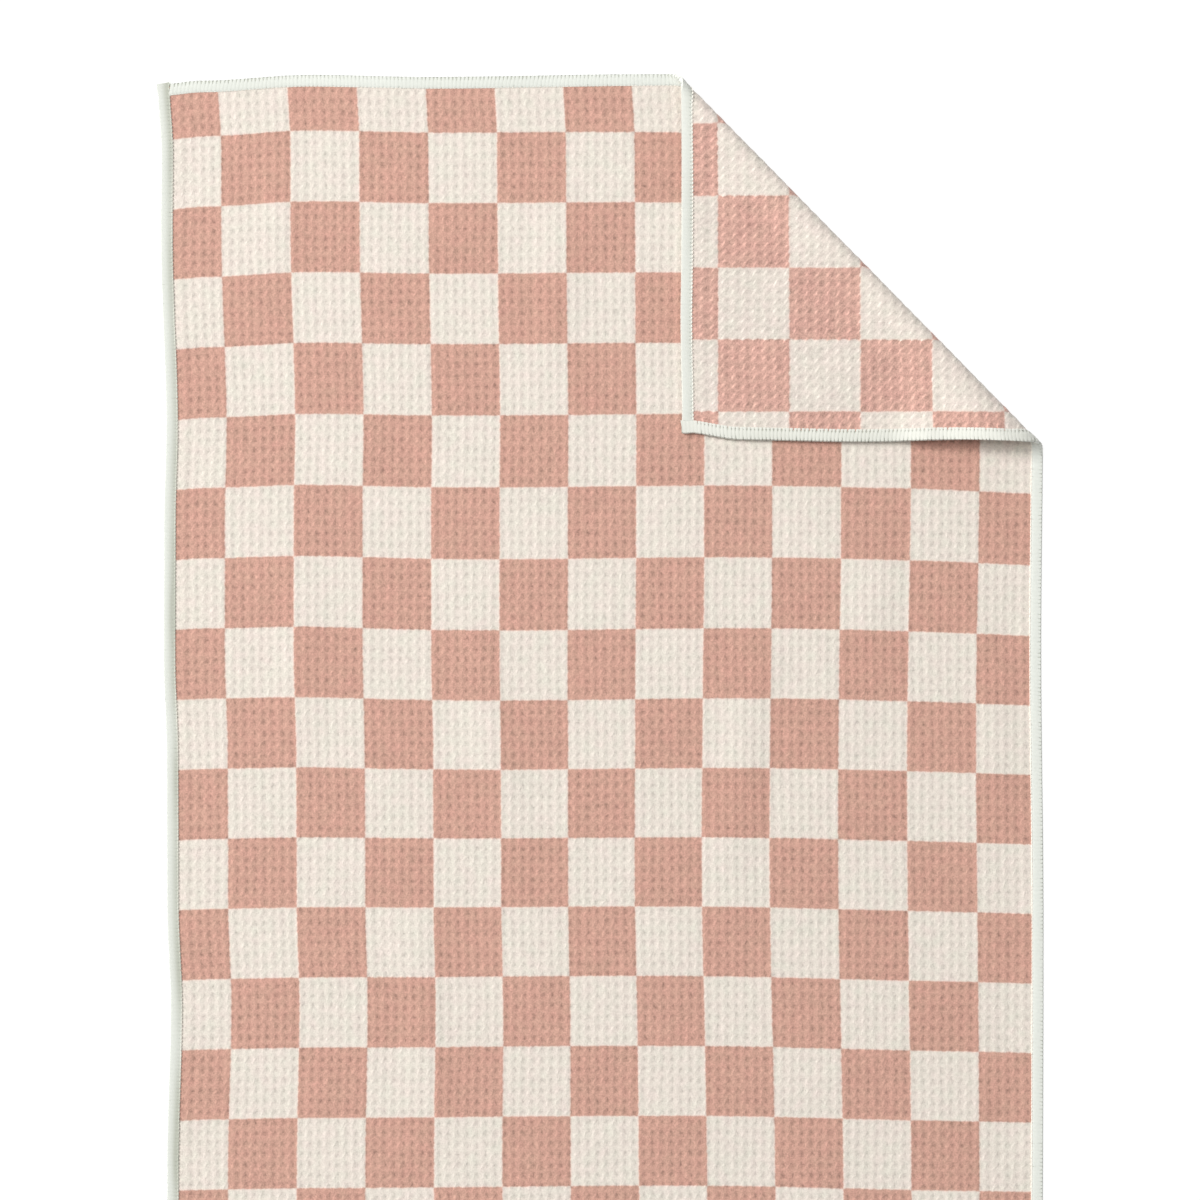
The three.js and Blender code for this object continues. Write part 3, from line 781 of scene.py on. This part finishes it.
def strands(front, back, starts, half, flare):
    """The looper threads of one run, each a flat tube from the front's holes round the nose to the back's.
    Returns points, faces, how dull each point is together with its painted shade, and how creamy it is."""
    ins = both_faces(path_ins(front["reach"]), path_ins(back["reach"]), NOSE_IN)
    rise = both_faces(front["rise"], -back["rise"], 0)
    stand_out, painted_side_shade, dull, painted_shade_in, cream = [
        both_faces(np.full(len(PATH_INS), front[key]), np.full(len(PATH_INS), back[key]), nose)
        for key, nose in AT_NOSE.items()
    ]
    # painted shade that darkens the strands towards the holes
    dull = dull + painted_shade_in * smooth(ins, *PAINTED_SHADE_TOWARDS)
    shares = [strand_width(look["inner"], look["outer"]) for look in (front, back)]
    share = both_faces(*shares, SHARE_AT_NOSE)

    count = len(starts)
    smoothed = smooth(abs(starts), half - SMOOTHED[0], half - SMOOTHED[1])[:, None] * bool(flare)
    lean = chance.uniform(-LEANS, LEANS, (count, 1)) + LEANS_IN_WAVES * np.sin(starts[:, None] / WAVE)
    share = share + (1 - share) * chance.uniform(-NARROWS, NARROWS, (count, 1))
    along = starts[:, None] + np.linspace(*RUNS_ON, len(ins)) * STITCH + lean * (ins - LEANS_ABOUT)
    lines = np.stack([along, *np.broadcast_arrays(ins, rise, along)[:2]], axis=-1)
    widths = STRAND["half_width"] * (share + (1 - share) * smoothed) * chance.uniform(*WIDTHS, (count, 1))
    heights = STRAND["half_height"] * stand_out * (1 - FLATTER * smoothed) * (0.5 + 0.5 * share)
    points, faces, beside = tubes(lines, widths, heights, False, STRAND["sides"])
    # painted shade at the strands' sides, where they meet their neighbours
    return points, faces, dull[:, None] + painted_side_shade[:, None] * beside, cream[:, None] + 0 * beside


def needle_row(look, side, starts):
    """The needle thread on one face, a short tube for each stitch, thinner at its ends. Returns what strands
    does."""
    taper = np.array([0.5, 1, 1, 0.5])
    along = starts[:, None] + np.linspace(-1, 1, len(taper)) * look["needle_half"]
    over = side * (rise_at(look, look["needle_in"]) + look["needle_over"])
    lines = np.stack([along, np.full_like(along, look["needle_in"]), np.full_like(along, over)], axis=-1)
    thick = np.broadcast_to(taper * NEEDLE["half_width"], along.shape)
    points, faces, beside = tubes(lines, thick, thick, True, NEEDLE["sides"])
    # the needle thread's dullness, partly painted shade
    return points, faces, 0 * beside + look["needle_dull_and_painted_shade"], 0 * beside + 1


def bed(front, back, half, count):
    """The bed under the strands: a closed band round the cut edge, with a ring at the end of each stitch.
    Returns what strands does."""
    section = np.stack([
        both_faces(BED_INS, BED_INS, BED_NOSE_IN),
        both_faces(rise_at(front, BED_INS) - BED_UNDER, BED_UNDER - rise_at(back, BED_INS), 0),
    ], axis=-1)
    section = np.concatenate([section, BED_INNER])
    ring = np.empty((count + 1, len(section), 3))
    ring[..., 0] = np.linspace(-half, half, count + 1)[:, None]
    ring[..., 1:] = section
    n = np.arange(ring.shape[0] * ring.shape[1]).reshape(ring.shape[:2])
    wall = np.stack([n[:-1], np.roll(n, -1, 1)[:-1], np.roll(n, -1, 1)[1:], n[1:]], axis=-1)
    faces = [wall.reshape(-1, 4), n[:1, ::-1], n[-1:]]
    # the bed is painted with shade, since it lies under and between the strands
    return ring.reshape(-1, 3), faces, np.full(n.shape, BED_PAINTED_SHADE), np.zeros(n.shape)


SIDE_ANGLE = math.radians(50)       # the strands' sides are steeper than this, and shade as sharp edges


def thread_edge(edge, node, half, flare):
    """One run of overlock from end to end of an edge. A flare widens its ends, which lie smooth over the
    ends of the runs beside it."""
    front, back = [dict(zip(LOOKS, row)) for row in RUNS[edge]]
    count = round(2 * half / STITCH)
    even = (np.arange(count) + 0.5) * (2 * half / count) - half
    starts = even + chance.uniform(-STARTS_OFF, STARTS_OFF, count)
    parts = [strands(front, back, starts, half, flare)]
    for look, side in ((front, 1), (back, -1)):
        if look["needle_in"]:
            parts.append(needle_row(look, side, starts))
    parts.append(bed(front, back, half, count))

    counts = np.cumsum([0] + [len(points) for points, *_ in parts])
    flat = np.concatenate([points for points, *_ in parts])
    faces = [face + start for (_, groups, *_), start in zip(parts, counts) for face in groups]
    flared = smooth(abs(flat[:, 0]), half - FLARED[0], half - FLARED[1])
    flat[:, 1] -= flare * flared * (1 - smooth(flat[:, 1], *FLARE_ENDS))
    u, v = along_edge(edge, flat[:, 0], flat[:, 1])
    made = new_piece(
        "overlock_thread_" + edge,
        lie(u, v, flat[:, 2]),
        faces,
        thread_look,
        marks={
            "dull": np.concatenate([dull_and_shade.ravel() for _, _, dull_and_shade, _ in parts]),
            "needle": np.concatenate([creamy.ravel() for *_, creamy in parts]),
        },
    )
    made.data.set_sharp_from_angle(angle=SIDE_ANGLE)
    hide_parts(node)
    return made


UNDER_SIDES = 6.6       # the top and bottom runs end this far in, where the side runs cover them
thread_edges = [
    thread_edge("top", "overlock_top", WIDTH / 2 - UNDER_SIDES, 0),
    thread_edge("right", "overlock_right", LENGTH / 2, FLARE),
    thread_edge("bottom", "overlock_bottom", WIDTH / 2 - UNDER_SIDES, 0),
    thread_edge("left", "overlock_left", LENGTH / 2, FLARE),
]

# The floor is a plain white light board under the towel, which glows evenly and so takes hardly a shadow.
# It is three metres to each side.
FLOOR_HALF = 3
floor_mesh = bpy.data.meshes.new("floor")
floor_corners = [(x * FLOOR_HALF, y * FLOOR_HALF, 0) for x, y in ((-1, -1), (1, -1), (1, 1), (-1, 1))]
floor_mesh.from_pydata(floor_corners, [], [(0, 1, 2, 3)])
floor = bpy.data.objects.new("floor", floor_mesh)
bpy.context.collection.objects.link(floor)
floor_look = bpy.data.materials.new("white_floor")
floor_look.use_nodes = True
board = floor_look.node_tree.nodes["Principled BSDF"].inputs
board["Base Color"].default_value = (0.16, 0.16, 0.16, 1)
board["Roughness"].default_value = 1.0
board["Specular IOR Level"].default_value = 0.0
board["Emission Color"].default_value = (1, 1, 1, 1)
board["Emission Strength"].default_value = 0.9
floor_mesh.materials.append(floor_look)

# The light is a soft box up on the left and a second, wider one higher up, over a pale room. Sizes and
# places are metres here, and energies watts.
room = bpy.data.worlds.new("pale_room")
room.use_nodes = True
room.node_tree.nodes["Background"].inputs["Color"].default_value = (1, 1, 1, 1)
room.node_tree.nodes["Background"].inputs["Strength"].default_value = 0.36
bpy.context.scene.world = room
for name, size, energy, place in (
    ("soft_box", 1.7, 179, (-3.51, 2.03, 3.17)),
    ("high_soft_box", 2.6, 112, (-1.88, 1.09, 4.67)),
):
    light = bpy.data.lights.new(name, "AREA")
    light.shape = "DISK"
    light.size = size
    light.energy = energy
    light_at = bpy.data.objects.new(name, light)
    light_at.location = place
    light_at.rotation_euler = (-light_at.location).to_track_quat("-Z", "Y").to_euler()
    bpy.context.collection.objects.link(light_at)

# The camera looks straight down through a long lens. The picture's frame takes in 626 mm, with the towel's
# bottom cut off.
FRAME_WIDTH = 0.626
PICTURE_MIDDLE = (-0.0003, 0.1077)
lens = bpy.data.cameras.new("camera")
lens.sensor_width = 36
lens.lens = 100
camera = bpy.data.objects.new("camera", lens)
camera.location = (*PICTURE_MIDDLE, FRAME_WIDTH * lens.lens / lens.sensor_width)
bpy.context.collection.objects.link(camera)
bpy.context.scene.camera = camera
bpy.context.scene.view_settings.view_transform = "Standard"
